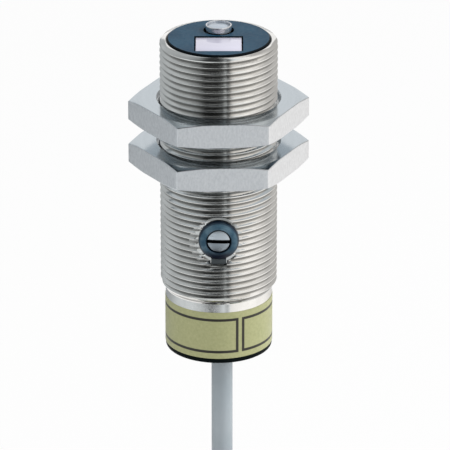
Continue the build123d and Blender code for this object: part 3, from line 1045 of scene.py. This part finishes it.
adjuster = {
    "face": -bushLow.y,
    "seat": port["floor"],
    "radius": bushHigh.x,
    "crown": (  # radius, depth below the ring's face
        (2.4, 0.03), (2.65, 0.13), (2.85, 0.28), (3.0, 0.47), (bushHigh.x, 0.7),
    ),
    "lipRadius": 2.05,
    "lipDepth": 0.16,
    "pocketRadius": 1.9,
    "pocketFloor": 7.03,
    "spigotRadius": 2.5,
    "spigotEnd": -bushHigh.y,
    "shaftBore": 1.05,
    "keySize": (2.3, 0.2, 4.0),
    "screwFace": 9.05,
    "screwDome": 0.14,
    "domeShares": ((0.6, 0.3), (0.3, 0.07)),  # of the screw's radius and of the dome
    "screwRadius": 1.75,
    "screwBack": 7.95,
    "shaftRadius": 1.0,
    "shaftEnd": 3.75,
    "bladeSize": (1.7, 0.6, 0.45),
    "slotWidth": 0.58,
    "slotDepth": 0.6,
    "slotTurn": 1.5,
    "keyEdge": 0.07,
    "bladeEdge": 0.04,
    "bladeSink": 0.02,  # of the blade into the shaft
    "slotMargin": 1.0,  # of the slot's cutter past the screw
}


def makeAdjusterRing():
    profile = rounded(
        [
            (adjuster["pocketRadius"], adjuster["pocketFloor"], 0),
            (adjuster["pocketRadius"], adjuster["face"] - adjuster["lipDepth"], 0.05),
            (adjuster["lipRadius"], adjuster["face"], 0.04),
            *((radius, adjuster["face"] - depth, 0) for radius, depth in adjuster["crown"]),
            (adjuster["radius"], adjuster["seat"], 0),
            (adjuster["spigotRadius"], adjuster["seat"], 0),
            (adjuster["spigotRadius"], adjuster["spigotEnd"], 0),
            (adjuster["shaftBore"], adjuster["spigotEnd"], 0),
            (adjuster["shaftBore"], adjuster["pocketFloor"], 0),
        ]
    )
    ring = pieceFrom(lathe(profile), "adjusterRing", matrix=sideways)
    width, thick, reach = adjuster["keySize"]
    start = (adjuster["pocketRadius"] + adjuster["radius"]) / 2
    key = block(
        (width, thick, reach - start),
        (0, -(adjuster["seat"] + thick / 2), port["height"] - (reach + start) / 2),
        adjuster["keyEdge"],
    )
    combine(ring, "UNION", pieceFrom(key, "key"))
    return ring


def makeScrew():
    face, dome = adjuster["screwFace"], adjuster["screwDome"]
    profile = rounded(
        [
            (0, adjuster["shaftEnd"], 0),
            (adjuster["shaftRadius"], adjuster["shaftEnd"], 0),
            (adjuster["shaftRadius"], adjuster["screwBack"], 0),
            (adjuster["screwRadius"], adjuster["screwBack"], 0),
            (adjuster["screwRadius"], face - dome, 0.12),
            *(
                (adjuster["screwRadius"] * out, face - dome * down, 0)
                for out, down in adjuster["domeShares"]
            ),
            (0, face, 0),
        ]
    )
    screw = pieceFrom(lathe(profile), "rangeScrew", matrix=sideways)
    margin, depth = adjuster["slotMargin"], adjuster["slotDepth"]
    slot = block(
        (2 * adjuster["screwRadius"] + margin, adjuster["slotWidth"], depth + margin),
        (0, 0, face + (margin - depth) / 2),
    )
    turned = sideways @ Matrix.Rotation(math.radians(-adjuster["slotTurn"]), 4, "Z")
    combine(screw, "DIFFERENCE", pieceFrom(slot, "slot", matrix=turned))
    bladeTop = adjuster["shaftEnd"] + adjuster["bladeSink"]
    blade = block(
        adjuster["bladeSize"],
        (0, 0, bladeTop - adjuster["bladeSize"][2] / 2),
        adjuster["bladeEdge"],
    )
    combine(screw, "UNION", pieceFrom(blade, "blade", matrix=sideways))
    return screw


darkMoulding = {
    "dark": (0.020, 0.062, 0.100),
    "light": (0.085, 0.150, 0.195),
    "rough": (0.24, 0.36),
    "ior": 1.33,
    "scale": 5200.0,
    "bump": 0.3,
    "key": (0.058, 0.070, 0.076),
    "keyFade": 0.1,
    # the colour of the painted shade on the ring's underside and turned-off edge
    "underside": (0.001, 0.004, 0.014),
    "undersideShadeFrom": (-2.4, -0.7),  # heights from the ring's middle over which its lower part darkens into painted shade
    "turnedFrom": (-0.84, -0.56),  # how far the crown's edge has turned off the front, where painted shade darkens it
    "turnedShade": 0.9,
}


def ringMaterial():
    material = grainFinish("darkMoulding", darkMoulding)
    tree, shader, moulding = parts(material)
    # painted shade: darker towards the ring's bottom and where the crown turns off the front
    height = coordinates(tree)["Z"]
    shadeHeights = [(port["height"] + level) * mm for level in darkMoulding["undersideShadeFrom"]]
    under = mapped(tree, height, *shadeHeights, 1, 0, True)
    start, end = darkMoulding["turnedFrom"]
    turned = mapped(tree, facing(tree)["Y"], start, end, 0, darkMoulding["turnedShade"])
    shade = mathNode(tree, "MAXIMUM", under, turned)
    moulding = mixColours(tree, shade, moulding, darkMoulding["underside"])
    below = (port["height"] - adjuster["radius"]) * mm
    onKey = mapped(tree, height, below - darkMoulding["keyFade"] * mm, below, 1, 0)
    paint(tree, shader, mixColours(tree, onKey, moulding, darkMoulding["key"]))
    return material


turnedSteel = {
    "dark": (0.50, 0.54, 0.58),
    "light": (0.62, 0.67, 0.71),
    "metallic": 1.0,
    "rough": (0.26, 0.40),
    "scale": 3500.0,
    "stretch": (0.2, 1, 1),
    "bump": 0.3,
    # painted shade inside the slot
    "slot": (0.012, 0.014, 0.016),
    "slotShadeFrom": (0.05, 0.2),  # depths behind the head's rim over which the slot is painted dark as shade
    # painted shade standing in for the darker reflection on the head's lower half
    "lowerHalfShade": (0.36, 0.41, 0.45),
    "lowerShadeFrom": 0.4,  # below the middle, where the painted shade begins
}


def screwMaterial():
    material = grainFinish("turnedSteel", turnedSteel)
    tree, shader, steel = parts(material)
    here = coordinates(tree)
    # painted shade darkens the head's lower half
    low = (port["height"] - turnedSteel["lowerShadeFrom"]) * mm
    lower = mapped(tree, here["Z"], low, port["height"] * mm, 1, 0)
    steel = mixColours(tree, lower, steel, turnedSteel["lowerHalfShade"])
    # painted shade darkens the inside of the slot
    rim = adjuster["screwDome"] - adjuster["screwFace"]
    depths = [(rim + depth) * mm for depth in turnedSteel["slotShadeFrom"]]
    slotShade = mapped(tree, here["Y"], *depths, 0, 1)
    paint(tree, shader, mixColours(tree, slotShade, steel, turnedSteel["slot"]))
    return material


adjusterRing = makeAdjusterRing()
place(adjusterRing, "sensor", "bush_dark", "adjuster_bush")
dress(adjusterRing, ringMaterial())
rangeScrew = makeScrew()
place(rangeScrew, "adjuster", "screw_steel", "adjuster_screw")
dress(rangeScrew, screwMaterial())
print("adjuster ready")


# Label round the plain rear: bare, with plain ruled frames

labelTop = box("label_band")[1].z
label = {
    "radius": 8.33,
    "lineWidth": 0.44,
    "lineFade": 0.03,
    "frameTop": labelTop - 1.24,
    "frameBottom": labelTop - 6.57,
    "frames": ((-15.2, 2.90), (3.90, 16.6)),  # along the band, from the front's middle
    "ink": (0.014, 0.012, 0.006),
    "dark": (0.325, 0.335, 0.160),
    "light": (0.40, 0.405, 0.205),
    "scale": 2200.0,
    "rough": (0.30, 0.42),
    "bump": (0.08, 0.02),
}


def labelMaterial():
    material, tree, shader = newMaterial("ruledFoil", Metallic=0.0)
    grain = addGroup(tree, surfaceGrain, Scale=label["scale"])
    here = coordinates(tree)
    towards = mathNode(tree, "MULTIPLY", here["Y"], -1.0)
    angle = mathNode(tree, "ARCTAN2", here["X"], towards)
    along = mathNode(tree, "MULTIPLY", angle, label["radius"])
    up = mathNode(tree, "DIVIDE", here["Z"], mm)
    inside, outside = (label["lineWidth"] / 2 + side * label["lineFade"] for side in (-1, 1))
    midHeight = (label["frameTop"] + label["frameBottom"]) / 2
    tall = (label["frameTop"] - label["frameBottom"]) / 2
    offMiddle = mathNode(tree, "ABSOLUTE", mathNode(tree, "SUBTRACT", up, midHeight))
    endGap = mathNode(tree, "SUBTRACT", offMiddle, tall)
    ink = 0.0
    for start, end in label["frames"]:
        aside = mathNode(tree, "ABSOLUTE", mathNode(tree, "SUBTRACT", along, (start + end) / 2))
        sideGap = mathNode(tree, "SUBTRACT", aside, (end - start) / 2)
        outline = mathNode(tree, "ABSOLUTE", mathNode(tree, "MAXIMUM", sideGap, endGap))
        line = mapped(tree, outline, inside, outside, 1, 0, True)
        ink = mathNode(tree, "MAXIMUM", ink, line)
    foil = toned(tree, grain.outputs["Grain"], grainNoise["spread"], label)
    paint(tree, shader, mixColours(tree, ink, foil, label["ink"]))
    roughen(tree, shader, grain.outputs["Patches"], label)
    addBump(tree, shader, grain.outputs["Grain"], *label["bump"])
    return material


dress(nodes["label_band"], labelMaterial())
print("label ready")


# Cable: straight out of the cap, then wound for storage

cable = {
    "diameter": 3.3,
    "exit": (0.5, 0.0, -35.55),
    "drop": ((0.5, 0.0, -54.0), (0.5, 0.0, -62.0)),
    "coilCentre": (0.5, -96.0),
    "coilRadius": 18.0,
    "pitchAcross": (-4.65, -1.7, 1.7, 4.65),
    "pitchOut": 3.4,
    "columns": (4, 5, 5, 4),
    "firstAngle": 47.1,
    "lastAngle": 90.0,
    "pointsPerTurn": 16,
    "tail": ((23.5, 4.3, -103.0), (23.05, 3.6, -110.0), (23.0, 3.5, -116.5)),
    "length": 2.0,
    "carried": ("coil_tie", "brown_core", "blue_core", "black_core", "white_core", "core_tips"),
}


def turnPlaces():  # (across, out) of every turn, in the order of winding
    places = []
    for index, (across, count) in enumerate(zip(cable["pitchAcross"], cable["columns"])):
        outs = [cable["pitchOut"] * (n - (count - 1) / 2) for n in range(count)]
        if index % 2 == 0:
            outs.reverse()
        places += [(across, out) for out in outs]
    return places


def coilPoints():
    places = turnPlaces()
    step = 360 / cable["pointsPerTurn"]
    swell = 1 / (0.75 + 0.25 * math.cos(math.radians(step)))  # the spline cuts inside
    centreX, centreZ = cable["coilCentre"]
    total = 360 * (len(places) - 1) + cable["lastAngle"] - cable["firstAngle"]
    points = []
    for n in range(int(total / step) + 1):
        turned = n * step / 360
        whole = min(int(turned), len(places) - 1)
        following = min(whole + 1, len(places) - 1)
        share = turned - int(turned)
        across = places[whole][0] * (1 - share) + places[following][0] * share
        out = places[whole][1] * (1 - share) + places[following][1] * share
        angle = math.radians(cable["firstAngle"] + n * step)
        radius = (cable["coilRadius"] + out) * swell
        points.append(
            (centreX + radius * math.sin(angle), across, centreZ + radius * math.cos(angle))
        )
    return points


def makeCable():
    route = [cable["exit"], *cable["drop"], *coilPoints(), *cable["tail"]]
    curve = bpy.data.curves.new("sensorCable", "CURVE")
    curve.dimensions = "3D"
    curve.bevel_depth = 1  # each point's own radius sets the thickness
    curve.bevel_resolution = 5
    curve.resolution_u = 5
    curve.use_fill_caps = True
    spline = curve.splines.new("NURBS")
    spline.points.add(len(route) - 1)
    for point, spot in zip(spline.points, route):
        point.co = (*(Vector(spot) * mm), 1)
        point.radius = cable["diameter"] / 2 * mm
    spline.order_u = 3
    spline.use_endpoint_u = True
    return addObject("sensorCable", curve)


sheath = {
    "dark": (0.30, 0.345, 0.375),
    "light": (0.35, 0.395, 0.425),
    "rough": (0.38, 0.52),
    "scale": 1200.0,
}
greySheath = grainFinish("greySheath", sheath)
sensorCable = makeCable()
place(sensorCable, "sensor", "cable_grey", "cable", "cable_coil", "cable_tail")
dress(sensorCable, greySheath)
print("cable ready")


# Finishes of the carried-over solids

finishes = {
    "capBlack": {
        "dark": (0.001, 0.003, 0.003),
        "light": (0.003, 0.006, 0.006),
        "rough": (0.34, 0.46),
        "ior": 1.12,
        "scale": 1500.0,
        "nodes": ("end_cap", "optics_carrier", "coil_tie", "black_core", "black_lead"),
    },
    "softRubber": {
        "dark": (0.015, 0.015, 0.015),
        "light": (0.03, 0.03, 0.03),
        "rough": (0.6, 0.8),
        "scale": 1500.0,
        "nodes": ("cap_gasket", "adjuster_seal", "cable_grommet"),
    },
    "lensGlass": {
        "dark": (0.41, 0.47, 0.54),
        "light": (0.50, 0.56, 0.63),
        "rough": (0.05, 0.1),
        "scale": 700.0,
        "bump": 0.02,
        "nodes": ("laser_lens", "receiver_lens"),
    },
    "goldPlate": {
        "dark": (0.75, 0.55, 0.25),
        "light": (0.85, 0.65, 0.33),
        "metallic": 1.0,
        "rough": (0.2, 0.3),
        "nodes": ("laser_diode",),
    },
    "boardGreen": {
        "dark": (0.015, 0.12, 0.05),
        "light": (0.03, 0.18, 0.08),
        "rough": (0.3, 0.45),
        "scale": 1500.0,
        "nodes": ("front_board", "main_board"),
    },
    "tinnedMetal": {
        "dark": (0.62, 0.61, 0.59),
        "light": (0.76, 0.75, 0.73),
        "metallic": 1.0,
        "rough": (0.25, 0.42),
        "scale": 2600.0,
        "stretch": (1, 1, 0.25),
        "bump": 0.5,
        "nodes": ("board_pins", "crimp_ring", "core_tips"),
    },
    "chipBlack": {
        "dark": (0.02, 0.02, 0.022),
        "light": (0.035, 0.035, 0.037),
        "rough": (0.5, 0.65),
        "scale": 3000.0,
        "nodes": ("signal_processor", "output_driver", "light_detector", "resin_plug"),
    },
    "firedCeramic": {
        "dark": (0.42, 0.29, 0.17),
        "light": (0.52, 0.37, 0.23),
        "rough": (0.4, 0.55),
        "scale": 3000.0,
        "nodes": ("capacitors",),
    },
    "trimmerBlue": {
        "dark": (0.02, 0.07, 0.28),
        "light": (0.04, 0.10, 0.36),
        "rough": (0.3, 0.4),
        "nodes": ("trimmer_body", "blue_core", "blue_lead"),
    },
    "rotorWhite": {
        "dark": (0.66, 0.65, 0.60),
        "light": (0.76, 0.75, 0.70),
        "rough": (0.35, 0.5),
        "nodes": ("trimmer_rotor", "white_core", "white_lead"),
    },
    "coreBrown": {
        "dark": (0.10, 0.035, 0.012),
        "light": (0.16, 0.06, 0.022),
        "rough": (0.3, 0.42),
        "nodes": ("brown_core", "brown_lead"),
    },
    "thinFilm": {
        "dark": (0.55, 0.47, 0.28),
        "light": (0.63, 0.55, 0.34),
        "rough": (0.2, 0.3),
        "scale": 1200.0,
        "nodes": ("insulating_sleeve",),
    },
}
for name, finish in finishes.items():
    material = grainFinish(name, finish)
    for node in finish["nodes"]:
        dress(nodes[node], material)
dress(nodes["cable_inner"], greySheath)
print("finishes ready")
